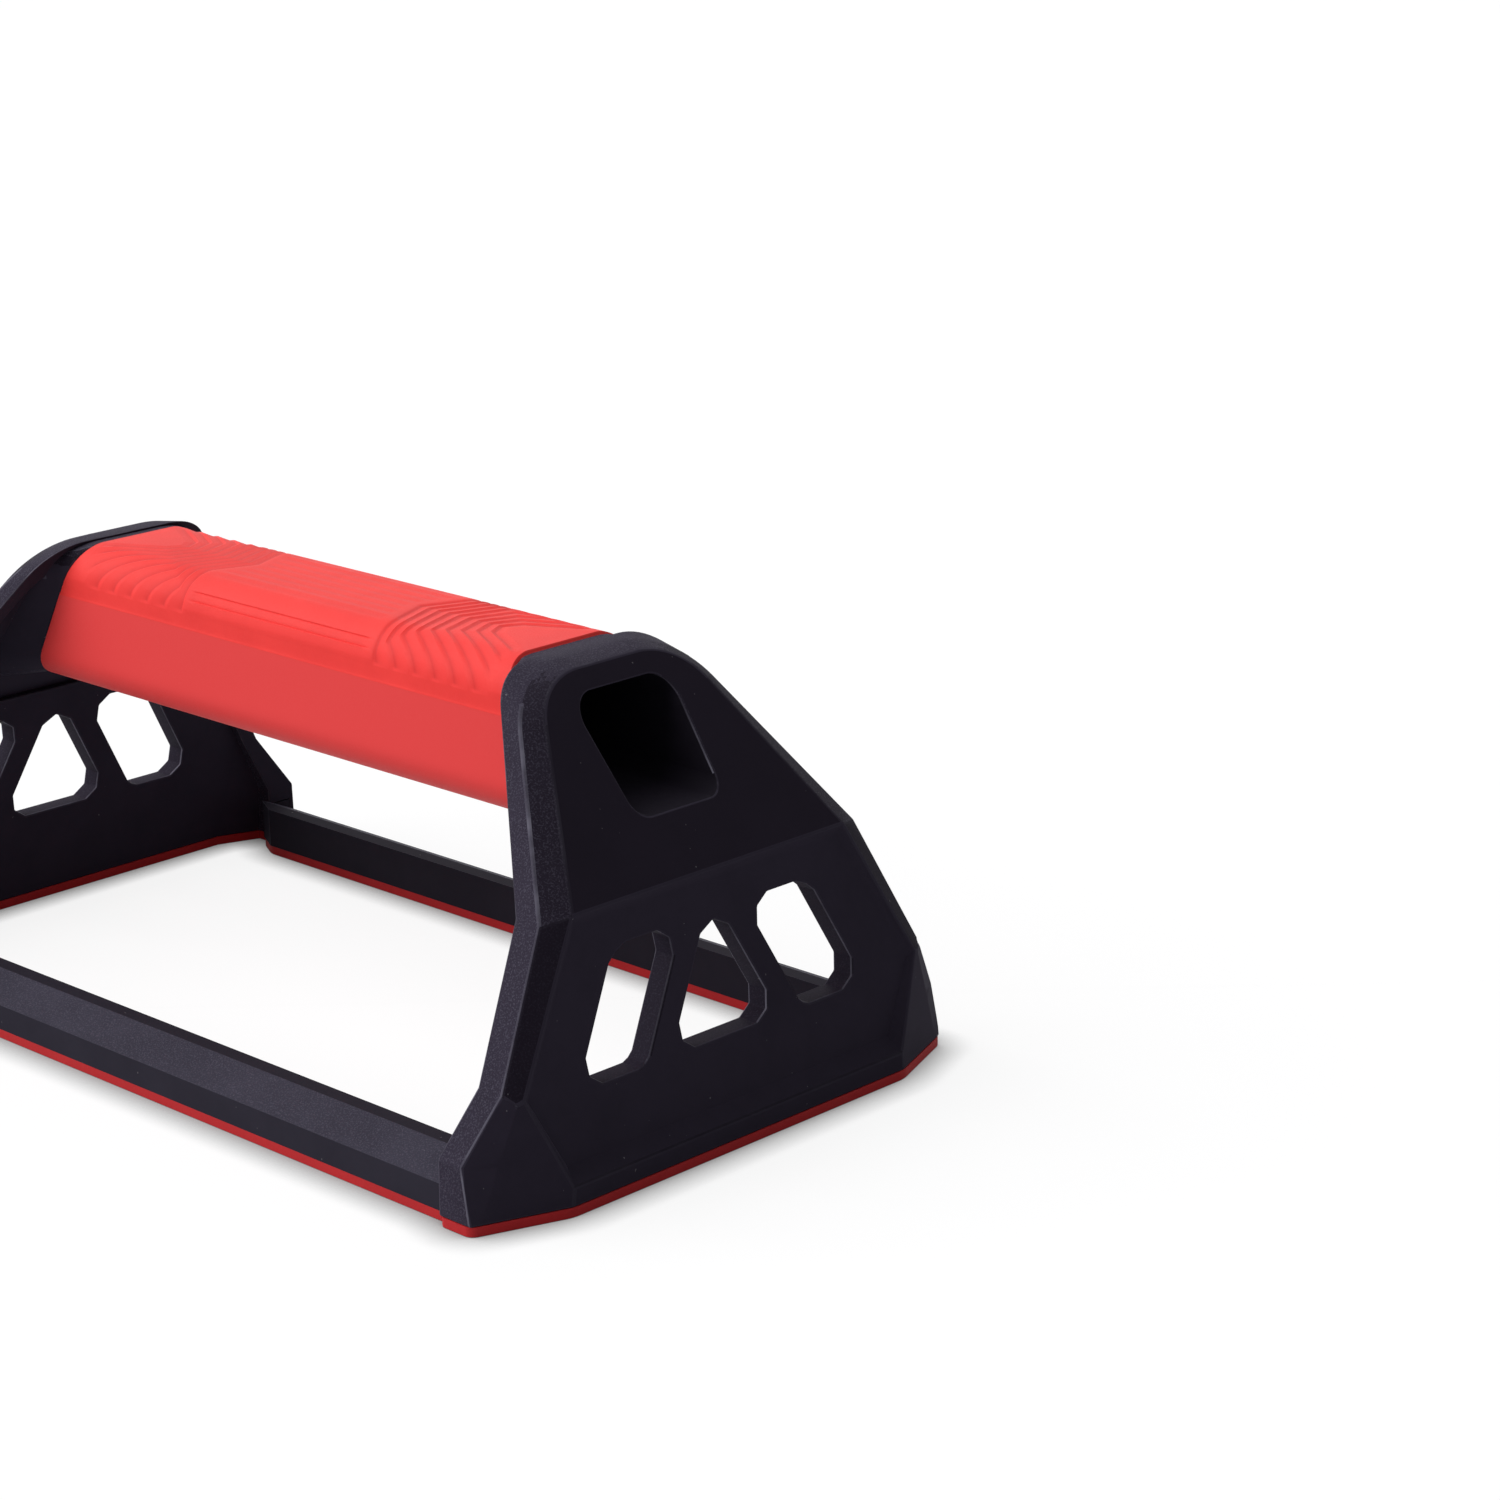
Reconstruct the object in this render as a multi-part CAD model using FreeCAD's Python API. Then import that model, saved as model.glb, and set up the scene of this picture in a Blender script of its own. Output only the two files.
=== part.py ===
import FreeCAD, Part
import math
import os

# One parallette bar: two moulded end frames, two base rails between their feet, a hollow
# keyed grip between their collars and soft soles underneath.
# Millimetres. Z up, X along the grip, origin on the floor under the middle of the grip.

# Overall size
LENGTH = 250.0
WIDTH = 140.7
HEIGHT = 100.0
SOLE = 2.2

# End frame seen from the end: half widths and heights of its outline
SHOULDER_Y = 22.1
SHOULDER_R = 23.0
SHOULDER_R_IN = 15.0
WAIST_Y = 46.2
WAIST_Z = 58.0
KNEE_Y = 61.7
KNEE_Z = 27.9
FOOT_Z = 14.4
FOOT_DRAFT = 0.3

# End frame seen from the side
LOWER_LEAN = 7.25
UPPER_LEAN = 37.2
BAND_TOP = 6.4
BAND_SLOPE = 3.2
BAND_OUT = 2.1
RIDGE_RISE = 1.3
RIM_SET_KNEE = 2.4
RIM_SET_WAIST = 3.1
RIM_SET_TOP = 3.55
RIM_DEPTH = 7.1
RIM_DEPTH_TOP = 5.3
FIELD_DEPTH = 1.3
FIELD_EDGE = 2.6
FIELD_CORNER = 1.2
FOOT_LENGTH = 17.2
FOOT_TOP_IN = 2.3

# End frame seen from above: the flat of the end and the cut corners
END_FLAT = 98.2
CORNER_IN = 7.9
CORNER_TOP = 26.5
FACET_TOP_Y = 59.5
FACET_TOP_Z = 25.5
FACET_LOW_Y = 67.9

# Walls of the end frame and the edge of its outer face
WALL = 5.6
RIM_WALL = 4.5
CORNER_WALL = 6.8
FOOT_WALL = 8.2
FACE_TOP_DROP = 1.4
FACE_TOP_Y = 19.4
FACE_WAIST_Y = 39.8
FACE_KNEE_Y = 57.2
FACE_R = 16.0

# Openings of the lower panel
CUT_LOW = 23.4
CUT_HIGH = 49.9
CUT_LEAN = 27.8
CUT_R = 0.8
TRIANGLE_FOOT = 16.1
TRIANGLE_FOOT_CUT = 7.0
TRIANGLE_TOP_CUT = 8.9
SLOT_FOOT_IN = 23.2
SLOT_FOOT_OUT = 42.6
SLOT_FOOT_CUT = 2.0
SLOT_TOP_CUT = 3.6
SLOT_POINT_CUT = 7.0

# Grip: section, walls and slanted ends
GRIP_W_LOW = 38.4
GRIP_W_TOP = 36.8
GRIP_H = 35.0
GRIP_R_TOP = 9.0
GRIP_R_LOW = 8.0
INNER_R = 5.5
SLEEVE_T = 2.0
CORE_T = 1.9
SPIGOT_T = 1.9
SPIGOT_FIT = 0.1
END_LEAN = 28.8
COLLAR_L = 12.35
SPIGOT_REACH = 14.0
COLLAR_IN = 0.5
COLLAR_FLARE = 6.3
COLLAR_R = 10.0
HOLE_SIDE = 0.2
HOLE_TAPER = 2.0
HOLE_LOW_R = 4.0

# Base rail section, its channel and its tongues
RAIL_STEP = 1.8
RAIL_W = 12.4
RAIL_EDGE = 8.2
RAIL_TOP = 12.1
RAIL_FLAT = 3.8
RAIL_TAPER_L = 7.0
RAIL_TAPER = 3.6
CHANNEL_W = 7.0
CHANNEL_TOP = 7.6
CHANNEL_RIBS = 5
RIB_T = 2.0
TONGUE_L = 6.6
TONGUE_W = 4.8
TONGUE_LOW = 5.0
TONGUE_TOP = 10.4
TONGUE_FIT = 0.1

# Keys of the soles, and the rail screws
KEY_W = 2.4
KEY_H = 1.5
KEY_FIT = 0.1
SCREW_D = 2.2
SCREW_HEAD_D = 4.4
SCREW_HEAD_H = 1.5
SCREW_L = 7.4
SCREW_IN = 3.4
HEAD_FIT = 0.15

# Corners left as good as sharp, the share of an edge that a corner may take, how far the two
# facets of a cut corner stand out towards its point, flatness
SHARP_R = 0.02
ROUND_SHARE = 0.45
CUT_BULGE = 0.27
FLAT = 0.001

# Values that follow from the sizes above
XO = LENGTH / 2
YC = WIDTH / 2
XC = XO - CORNER_IN
YB = END_FLAT / 2
FOOT_IN = XO - FOOT_LENGTH
FOOT_Y = YC - FOOT_DRAFT
BAND_SHOULDER = BAND_TOP + BAND_SLOPE
RIDGE_Z = WAIST_Z + RIDGE_RISE
RAIL_Y = YC - RAIL_STEP
RAIL_IN = RAIL_Y - RAIL_W
REACH = 2 * LENGTH
GRIP_LOW = HEIGHT - GRIP_H
BORE_IN = SLEEVE_T + CORE_T
SPIGOT_IN = BORE_IN + SPIGOT_FIT
HOLE_IN = SPIGOT_IN + SPIGOT_T
TONGUE_Y = YC - FOOT_WALL / 2


def pt(x, y, z):
    return FreeCAD.Vector(x, y, z)


def lean(angle):
    return math.tan(math.radians(angle))


def panel_x(z):
    """Ridge round the lower panel at height z."""
    return XO - BAND_OUT - (z - BAND_SHOULDER) * lean(LOWER_LEAN)


def field_x(z):
    """Sunk field of the lower panel at height z."""
    return panel_x(z) - FIELD_DEPTH


def face_x(z):
    """Leaning outer face above the ridge at height z."""
    return panel_x(RIDGE_Z) - (z - RIDGE_Z) * lean(UPPER_LEAN)


def rim_x(z):
    """Outer edge of the rim above the waist at height z."""
    low = panel_x(WAIST_Z) - RIM_SET_WAIST
    top = face_x(HEIGHT) - RIM_SET_TOP
    return low + (top - low) * (z - WAIST_Z) / (HEIGHT - WAIST_Z)


def rim_in_x(z):
    """Inner edge of the rim above the waist at height z."""
    rise = (z - WAIST_Z) / (HEIGHT - WAIST_Z)
    return rim_x(z) - RIM_DEPTH - (RIM_DEPTH_TOP - RIM_DEPTH) * rise


def ridge_y(z):
    """Half width of the ridge round the lower panel at height z."""
    return FACE_WAIST_Y + (FACE_KNEE_Y - FACE_WAIST_Y) * (RIDGE_Z - z) / (RIDGE_Z - KNEE_Z)


def ridge_point(z):
    return pt(panel_x(z), ridge_y(z), z)


def end_x(z):
    """Slanted plane where the grip meets the collar of the end frame."""
    return face_x(HEIGHT) - COLLAR_L + (HEIGHT - z) * lean(END_LEAN)


def beyond(point, normal):
    """Everything on the far side of a plane."""
    return Part.makeCylinder(REACH, REACH, point, normal)


def plane_normal(a, b, c):
    """Normal of the plane through three points, pointing away from the middle of the bar."""
    normal = (b - a).cross(c - a)
    normal.normalize()
    return normal if normal.x > 0 else normal * -1


def rounded(points, radii):
    """Closed flat wire through the points with every corner rounded by its radius."""
    starts = []
    middles = []
    ends = []
    count = len(points)
    for i, corner in enumerate(points):
        a = points[i - 1] - corner
        b = points[(i + 1) % count] - corner
        half = a.getAngle(b) / 2
        room = ROUND_SHARE * min(a.Length, b.Length) * math.tan(half)
        radius = min(radii[i], room)
        a.normalize()
        b.normalize()
        inward = a + b
        inward.normalize()
        starts.append(corner + a * (radius / math.tan(half)))
        ends.append(corner + b * (radius / math.tan(half)))
        middles.append(corner + inward * (radius / math.sin(half) - radius))
    edges = []
    for i in range(count):
        edges.append(Part.Arc(starts[i], middles[i], ends[i]).toShape())
        edges.append(Part.LineSegment(ends[i], starts[(i + 1) % count]).toShape())
    return Part.Wire(edges)


def faceted(corners, cuts):
    """Points of an outline whose corners are cut by two facets that reach cut along both sides."""
    points = []
    count = len(corners)
    for i, corner in enumerate(corners):
        before = corners[i - 1] - corner
        after = corners[(i + 1) % count] - corner
        reach = min(cuts[i], ROUND_SHARE * min(before.Length, after.Length))
        before.normalize()
        after.normalize()
        middle = corner + (before + after) * (reach / 2)
        points.append(corner + before * reach)
        points.append(middle + (corner - middle) * CUT_BULGE)
        points.append(corner + after * reach)
    return points


def polygon(points):
    return Part.Wire(Part.makePolygon(points + [points[0]]))


def prism(wire, vector):
    return Part.Face(wire).extrude(vector)


def both_sides(half):
    """Points of a front/back symmetric outline from the half with positive y."""
    return half + [pt(p.x, -p.y, p.z) for p in reversed(half)]


def side_mirror(shape):
    return shape.mirror(pt(0, 0, 0), pt(1, 0, 0))


def front_mirror(shape):
    return shape.mirror(pt(0, 0, 0), pt(0, 1, 0))


def clean(shape):
    """One tidy solid without leftover seams."""
    return shape.removeSplitter().Solids[0]


def shoulder_outline(plane, waist_y, shoulder_y, low, top, radius):
    """Outline with two rounded shoulders, laid on the plane x = plane(z)."""
    half = [pt(plane(low), waist_y, low), pt(plane(top), shoulder_y, top)]
    corners = both_sides(half)
    return rounded(corners, [SHARP_R, radius, radius, SHARP_R])


def frame_upper():
    """Leaning upper part: raised face, bevel all round it and the rim behind."""
    rim = shoulder_outline(rim_x, WAIST_Y, SHOULDER_Y, WAIST_Z, HEIGHT, SHOULDER_R)
    face_top = HEIGHT - FACE_TOP_DROP
    face = shoulder_outline(face_x, FACE_WAIST_Y, FACE_TOP_Y, RIDGE_Z, face_top, FACE_R)
    back = shoulder_outline(rim_in_x, WAIST_Y, SHOULDER_Y, WAIST_Z, HEIGHT, SHOULDER_R_IN)
    bevel = Part.makeLoft([rim, face], True, True)
    return bevel.fuse(Part.makeLoft([back, rim], True, True))


def corner_plane(set_in):
    """Point and normal of the cut corner of the end, moved inward by set_in."""
    start = pt(XO, YB, BAND_TOP)
    normal = plane_normal(start, pt(XC, YC, SOLE), ridge_point(CORNER_TOP))
    return start - normal * set_in, normal


def corner_point(y, z):
    """Point of the cut corner of the end at y and height z."""
    start, normal = corner_plane(0)
    offset = normal.y * (y - start.y) + normal.z * (z - start.z)
    return pt(start.x - offset / normal.x, y, z)


def rim_low(z):
    """Point of the outer edge of the rim below the waist at height z."""
    drop = (WAIST_Z - z) / (WAIST_Z - KNEE_Z)
    set_in = RIM_SET_WAIST + (RIM_SET_KNEE - RIM_SET_WAIST) * drop
    return pt(panel_x(z) - set_in, WAIST_Y + (KNEE_Y - WAIST_Y) * drop, z)


def facet_room(lines):
    """Space outside a facet that runs over the given lines, each from its inner to its rim end."""
    sections = []
    for inner, rim in lines:
        outer = rim + (rim - inner)
        out = pt(FOOT_LENGTH, 0, 0)
        sections.append(polygon([inner, outer, outer + out, inner + out]))
    return Part.makeLoft(sections, True, True)


def bevel_line(z):
    """Line over the bevel from the ridge to the rim."""
    return ridge_point(z), rim_low(z)


def foot_lines():
    """Lines over the facet above the foot, from the cut corner to the front edge."""
    slope = (FACET_LOW_Y - FACET_TOP_Y) / (FACET_TOP_Z - SOLE)
    middle_y = FACET_TOP_Y + slope * (FACET_TOP_Z - FOOT_Z)
    return [
        (corner_point(FACET_TOP_Y, FACET_TOP_Z), rim_low(KNEE_Z)),
        (corner_point(middle_y, FOOT_Z), pt(XC - FOOT_TOP_IN, FOOT_Y, FOOT_Z)),
        (corner_point(FACET_LOW_Y, SOLE), pt(XC, YC, SOLE)),
    ]


def trim_facets(body):
    """Cut the bevel of the lower panel, the corner of the end and the facet above the foot."""
    rooms = [
        facet_room([bevel_line(RIDGE_Z), bevel_line(FACET_TOP_Z)]),
        beyond(*corner_plane(0)),
        facet_room(foot_lines()),
    ]
    for room in rooms:
        body = body.cut(room).cut(front_mirror(room))
    return body


def field_room():
    """Space in front of the sunk field, inside the slopes that rise from it to the ridge."""
    top = ridge_point(RIDGE_Z)
    band = pt(XO, YB, BAND_TOP)
    field_top = RIDGE_Z - FIELD_EDGE
    high = pt(field_x(field_top), ridge_y(field_top) - FIELD_EDGE, field_top)
    low = pt(field_x(BAND_SHOULDER), YB - FIELD_CORNER, BAND_SHOULDER)
    room = beyond(high, plane_normal(high, low, pt(low.x, 0, low.z)))
    room = room.common(beyond(top, plane_normal(top, pt(top.x, 0, top.z), high)))
    room = room.common(beyond(band, plane_normal(band, pt(XO, 0, BAND_TOP), low)))
    side = beyond(top, plane_normal(top, ridge_point(CORNER_TOP), high))
    corner = beyond(band, plane_normal(band, ridge_point(CORNER_TOP), low))
    for slope in (side, corner):
        room = room.common(slope).common(front_mirror(slope))
    return room


def frame_lower():
    """Part below the ridge: end outline crossed with the side profile, the facets, the field."""
    half = [pt(0, YC, SOLE), pt(0, FOOT_Y, FOOT_Z), pt(0, KNEE_Y, KNEE_Z)]
    half.append(pt(0, rim_low(RIDGE_Z).y, RIDGE_Z))
    outline = prism(polygon(both_sides(half)), pt(XO, 0, 0))
    knee_in = rim_low(KNEE_Z).x - RIM_DEPTH
    profile = polygon([
        pt(FOOT_IN, -WIDTH, SOLE),
        pt(XO, -WIDTH, SOLE),
        pt(XO, -WIDTH, BAND_TOP),
        pt(panel_x(CORNER_TOP), -WIDTH, CORNER_TOP),
        pt(panel_x(RIDGE_Z), -WIDTH, RIDGE_Z),
        pt(rim_x(WAIST_Z), -WIDTH, WAIST_Z),
        pt(rim_in_x(WAIST_Z), -WIDTH, WAIST_Z),
        pt(knee_in, -WIDTH, KNEE_Z),
        pt(FOOT_IN, -WIDTH, FOOT_Z),
    ])
    body = trim_facets(outline.common(prism(profile, pt(0, 2 * WIDTH, 0))))
    return body.cut(field_room())


def pocket_lower():
    """Hollow behind the lower panel, open towards the middle of the bar and downward."""
    inner_y = YC - FOOT_WALL
    half = [
        pt(0, inner_y, -SOLE),
        pt(0, inner_y, FOOT_Z),
        pt(0, KNEE_Y - RIM_WALL, KNEE_Z),
        pt(0, WAIST_Y - RIM_WALL, WAIST_Z),
    ]
    outline = prism(polygon(both_sides(half)), pt(XO, 0, 0))
    profile = polygon([
        pt(0, -WIDTH, -SOLE),
        pt(field_x(-SOLE) - WALL, -WIDTH, -SOLE),
        pt(field_x(WAIST_Z) - WALL, -WIDTH, WAIST_Z),
        pt(0, -WIDTH, WAIST_Z),
    ])
    pocket = outline.common(prism(profile, pt(0, 2 * WIDTH, 0)))
    far_side = beyond(*corner_plane(CORNER_WALL))
    return pocket.cut(far_side).cut(front_mirror(far_side))


def pocket_upper():
    """Hollow behind the leaning face, inside the rim."""
    slope = (WAIST_Y - SHOULDER_Y) / (HEIGHT - WAIST_Z)
    top = HEIGHT - RIM_WALL
    low = WAIST_Z - 2 * RIDGE_RISE
    shoulder = SHOULDER_Y + slope * RIM_WALL - RIM_WALL
    waist = WAIST_Y + slope * (WAIST_Z - low) - RIM_WALL
    outline = shoulder_outline(lambda z: 0, waist, shoulder, low, top, SHOULDER_R - RIM_WALL)
    set_in = WALL / math.cos(math.radians(UPPER_LEAN))
    profile = polygon([
        pt(0, -WIDTH, low),
        pt(face_x(low) - set_in, -WIDTH, low),
        pt(face_x(HEIGHT) - set_in, -WIDTH, HEIGHT),
        pt(0, -WIDTH, HEIGHT),
    ])
    return prism(outline, pt(XO, 0, 0)).common(prism(profile, pt(0, 2 * WIDTH, 0)))


def grip_wire(inset, plane):
    """Section of the grip set in by inset, laid on the plane x = plane(z)."""
    low = GRIP_W_LOW / 2 - inset
    top = GRIP_W_TOP / 2 - inset
    bottom_z = GRIP_LOW + inset
    top_z = HEIGHT - inset
    half = [pt(plane(bottom_z), low, bottom_z), pt(plane(top_z), top, top_z)]
    r_low = max(GRIP_R_LOW - inset, INNER_R)
    r_top = max(GRIP_R_TOP - inset, INNER_R)
    return rounded(both_sides(half), [r_low, r_top, r_top, r_low])


def grip_bar(inset, start, stop):
    """Straight bar with the section of the grip, from x = start to x = stop."""
    return prism(grip_wire(inset, lambda z: start), pt(stop - start, 0, 0))


def cut_ends(bar):
    """Cut both slanted ends of a bar of the grip."""
    slant = pt(1, 0, lean(END_LEAN))
    slant.normalize()
    past_end = beyond(pt(end_x(HEIGHT), 0, HEIGHT), slant)
    return clean(bar.cut(past_end).cut(side_mirror(past_end)))


def wall_back_x(z):
    """Just inside the back of the leaning wall at height z."""
    return face_x(z) - WALL


def grip_hole():
    """Hole through the end into the grip, wider at its top."""
    top = GRIP_W_TOP / 2 - SPIGOT_IN - HOLE_SIDE
    half = [pt(0, top - HOLE_TAPER, GRIP_LOW + HOLE_IN), pt(0, top, HEIGHT - HOLE_IN)]
    radii = [HOLE_LOW_R, INNER_R, INNER_R, HOLE_LOW_R]
    return prism(rounded(both_sides(half), radii), pt(XO, 0, 0))


def collar():
    """Flared collar from the leaning wall to the end of the grip."""
    low = GRIP_W_LOW / 2 + COLLAR_FLARE
    top = GRIP_W_TOP / 2 + COLLAR_FLARE / 2
    bottom_z = GRIP_LOW - COLLAR_FLARE / 2
    half = [pt(wall_back_x(bottom_z), low, bottom_z), pt(wall_back_x(HEIGHT), top, HEIGHT)]
    base = rounded(both_sides(half), [COLLAR_R] * 4)
    flare = Part.makeLoft([base, grip_wire(COLLAR_IN, end_x)], True, True)
    top_z = HEIGHT - COLLAR_IN
    inside = shoulder_outline(lambda z: 0, WAIST_Y, SHOULDER_Y, WAIST_Z, top_z, SHOULDER_R)
    return flare.common(prism(inside, pt(XO, 0, 0)))


def cut_prism(corners, cuts):
    """Straight cut along the bar with faceted corners."""
    points = faceted([pt(0, y, z) for y, z in corners], cuts)
    return prism(rounded(points, [CUT_R] * len(points)), pt(XO + SOLE, 0, 0))


def panel_cuts():
    """Triangle in the middle of the lower panel and the two slanted slots beside it."""
    apex = CUT_LOW + TRIANGLE_FOOT / lean(CUT_LEAN)
    rise = (CUT_HIGH - CUT_LOW) * lean(CUT_LEAN)
    corners = [(-TRIANGLE_FOOT, CUT_LOW), (TRIANGLE_FOOT, CUT_LOW), (0, apex)]
    triangle = cut_prism(corners, [TRIANGLE_FOOT_CUT, TRIANGLE_FOOT_CUT, TRIANGLE_TOP_CUT])
    slot = cut_prism([
        (SLOT_FOOT_IN, CUT_LOW),
        (SLOT_FOOT_OUT, CUT_LOW),
        (SLOT_FOOT_OUT - rise, CUT_HIGH),
        (SLOT_FOOT_IN - rise, CUT_HIGH),
    ], [SLOT_FOOT_CUT, SLOT_POINT_CUT, SLOT_TOP_CUT, SLOT_POINT_CUT])
    return [triangle, slot, front_mirror(slot)]


def tongue_block(fit):
    """Tongue of a rail in the front right foot, with fit on every free side."""
    size_y = TONGUE_W + 2 * fit
    size_z = TONGUE_TOP - TONGUE_LOW + 2 * fit
    corner = pt(FOOT_IN, TONGUE_Y - size_y / 2, TONGUE_LOW - fit)
    return Part.makeBox(TONGUE_L + fit, size_y, size_z, corner)


def end_key(fit):
    """Key of the end sole along the flat of the end."""
    middle = (XO + field_x(SOLE) - WALL) / 2
    size_x = KEY_W + 2 * fit
    size_y = END_FLAT - 2 * CORNER_IN + 2 * fit
    return Part.makeBox(size_x, size_y, KEY_H + fit, pt(middle - size_x / 2, -size_y / 2, SOLE))


def screw_places():
    x = FOOT_IN + SCREW_IN
    return [(sx * x, sy * TONGUE_Y) for sx in (-1, 1) for sy in (-1, 1)]


def screw(x, y):
    """Flat-headed screw standing upright with its head against the sole."""
    head = Part.makeCylinder(SCREW_HEAD_D / 2, SCREW_HEAD_H, pt(x, y, SOLE))
    shank = Part.makeCylinder(SCREW_D / 2, SCREW_L, pt(x, y, SOLE))
    return clean(head.fuse(shank))


def screw_hole(x, y):
    head = Part.makeCylinder(SCREW_HEAD_D / 2 + HEAD_FIT, SCREW_HEAD_H, pt(x, y, SOLE))
    return head.fuse(Part.makeCylinder(SCREW_D / 2, SCREW_L, pt(x, y, SOLE)))


def frame_shell():
    """End frame at the positive end before its key slot, tongue sockets and screw holes."""
    body = frame_upper().fuse(frame_lower())
    body = body.cut(pocket_lower()).cut(pocket_upper())
    body = body.fuse(collar())
    spigot = grip_bar(SPIGOT_IN, end_x(HEIGHT) - SPIGOT_REACH, face_x(GRIP_LOW) - WALL)
    body = body.fuse(spigot.common(spigot_room()))
    body = body.cut(grip_hole())
    for opening in panel_cuts():
        body = body.cut(opening)
    return clean(body)


def spigot_room():
    """Space on the inner side of the leaning face, where the spigot may run."""
    slant = pt(1, 0, lean(UPPER_LEAN))
    slant.normalize()
    block = Part.makeBox(XO, WIDTH, HEIGHT, pt(0, -WIDTH / 2, 0))
    return block.cut(beyond(pt(wall_back_x(HEIGHT), 0, HEIGHT), slant))


def frame_finish(shell):
    body = shell.cut(end_key(KEY_FIT))
    socket = tongue_block(TONGUE_FIT)
    body = body.cut(socket).cut(front_mirror(socket))
    for x, y in screw_places():
        if x > 0:
            body = body.cut(screw_hole(x, y))
    return clean(body)


def sole_under(shape, low):
    """Flat sole with the outline of everything the shape rests on at height low."""
    soles = []
    for face in shape.Faces:
        box = face.BoundBox
        if box.ZMax < low + FLAT and box.ZMin > low - FLAT:
            soles.append(face.extrude(pt(0, 0, -SOLE)))
    sole = soles[0]
    for more in soles[1:]:
        sole = sole.fuse(more)
    return sole


def grip_core():
    """Hollow stiff tube between the two collars."""
    x = end_x(GRIP_LOW)
    return cut_ends(grip_bar(SLEEVE_T, -x, x).cut(grip_bar(BORE_IN, -x, x)))


def grip_sleeve():
    """Soft sleeve round the core."""
    x = end_x(GRIP_LOW)
    return cut_ends(grip_bar(0, -x, x).cut(grip_bar(SLEEVE_T, -x, x)))


def rail_blank():
    """Rear rail: sloped section, tapered on its inner side at both ends."""
    section = polygon([
        pt(-FOOT_IN, RAIL_IN, SOLE),
        pt(-FOOT_IN, RAIL_Y, SOLE),
        pt(-FOOT_IN, RAIL_Y, RAIL_EDGE),
        pt(-FOOT_IN, RAIL_IN + RAIL_FLAT, RAIL_TOP),
        pt(-FOOT_IN, RAIL_IN, RAIL_TOP),
    ])
    rail = prism(section, pt(2 * FOOT_IN, 0, 0))
    start = FOOT_IN - RAIL_TAPER_L
    wedge = polygon([
        pt(start, RAIL_IN, 0),
        pt(FOOT_IN, RAIL_IN, 0),
        pt(FOOT_IN, RAIL_IN + RAIL_TAPER, 0),
    ])
    wedge = prism(wedge, pt(0, 0, HEIGHT))
    return rail.cut(wedge).cut(side_mirror(wedge))


def rail_channel(width, height, fit):
    """Long block under the rail: its channel, or the key of the sole that fills the mouth."""
    length = 2 * (FOOT_IN - 2 * RAIL_TAPER_L) + 2 * fit
    middle = RAIL_Y - RAIL_W / 2
    return Part.makeBox(length, width, height, pt(-length / 2, middle - width / 2, SOLE))


def base_rail():
    """Rear rail with its channel, cross ribs, end tongues and screw holes."""
    rail = rail_blank().cut(rail_channel(CHANNEL_W, CHANNEL_TOP - SOLE, 0))
    length = 2 * (FOOT_IN - 2 * RAIL_TAPER_L)
    key_top = SOLE + KEY_H + KEY_FIT
    middle = RAIL_Y - RAIL_W / 2
    for i in range(CHANNEL_RIBS):
        x = -length / 2 + length * (i + 1) / (CHANNEL_RIBS + 1)
        corner = pt(x - RIB_T / 2, middle - CHANNEL_W / 2, key_top)
        rail = rail.fuse(Part.makeBox(RIB_T, CHANNEL_W, CHANNEL_TOP - key_top, corner))
    tongue = tongue_block(0)
    rail = rail.fuse(tongue).fuse(side_mirror(tongue))
    for x, y in screw_places():
        if y > 0:
            rail = rail.cut(screw_hole(x, y))
    return clean(rail)


def rail_sole():
    """Sole of the rear rail with the key that sits in the mouth of the channel."""
    sole = sole_under(rail_blank(), SOLE)
    return clean(sole.fuse(rail_channel(CHANNEL_W - 2 * KEY_FIT, KEY_H, -KEY_FIT)))


def build():
    shell = frame_shell()
    right_frame = frame_finish(shell)
    right_sole = clean(sole_under(shell, SOLE).fuse(end_key(0)))
    rail = base_rail()
    strip = rail_sole()
    return {
        "right_end_frame": right_frame,
        "left_end_frame": side_mirror(right_frame),
        "right_end_sole": right_sole,
        "left_end_sole": side_mirror(right_sole),
        "rear_base_rail": rail,
        "front_base_rail": front_mirror(rail),
        "rear_rail_sole": strip,
        "front_rail_sole": front_mirror(strip),
        "grip_core": grip_core(),
        "grip_sleeve": grip_sleeve(),
        "rail_screws": Part.makeCompound([screw(x, y) for x, y in screw_places()]),
    }


os.makedirs("parts", exist_ok=True)
for name, shape in build().items():
    shape.exportStep("parts/" + name + ".step")
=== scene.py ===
import math

import bmesh
import bpy
from mathutils import Matrix, Vector


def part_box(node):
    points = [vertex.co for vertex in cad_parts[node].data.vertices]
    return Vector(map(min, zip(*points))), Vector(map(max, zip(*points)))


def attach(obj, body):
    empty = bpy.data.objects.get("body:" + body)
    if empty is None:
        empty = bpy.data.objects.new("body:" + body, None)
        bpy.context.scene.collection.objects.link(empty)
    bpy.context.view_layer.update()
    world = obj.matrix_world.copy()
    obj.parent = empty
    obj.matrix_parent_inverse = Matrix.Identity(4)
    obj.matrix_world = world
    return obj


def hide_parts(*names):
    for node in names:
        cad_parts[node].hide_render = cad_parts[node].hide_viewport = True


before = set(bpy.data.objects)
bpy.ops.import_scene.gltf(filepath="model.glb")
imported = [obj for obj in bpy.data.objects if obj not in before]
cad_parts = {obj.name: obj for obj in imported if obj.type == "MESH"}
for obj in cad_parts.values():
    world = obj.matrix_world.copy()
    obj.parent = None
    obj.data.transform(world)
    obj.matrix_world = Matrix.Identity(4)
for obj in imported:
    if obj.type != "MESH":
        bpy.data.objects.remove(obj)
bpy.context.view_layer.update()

MM = 0.001

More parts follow.
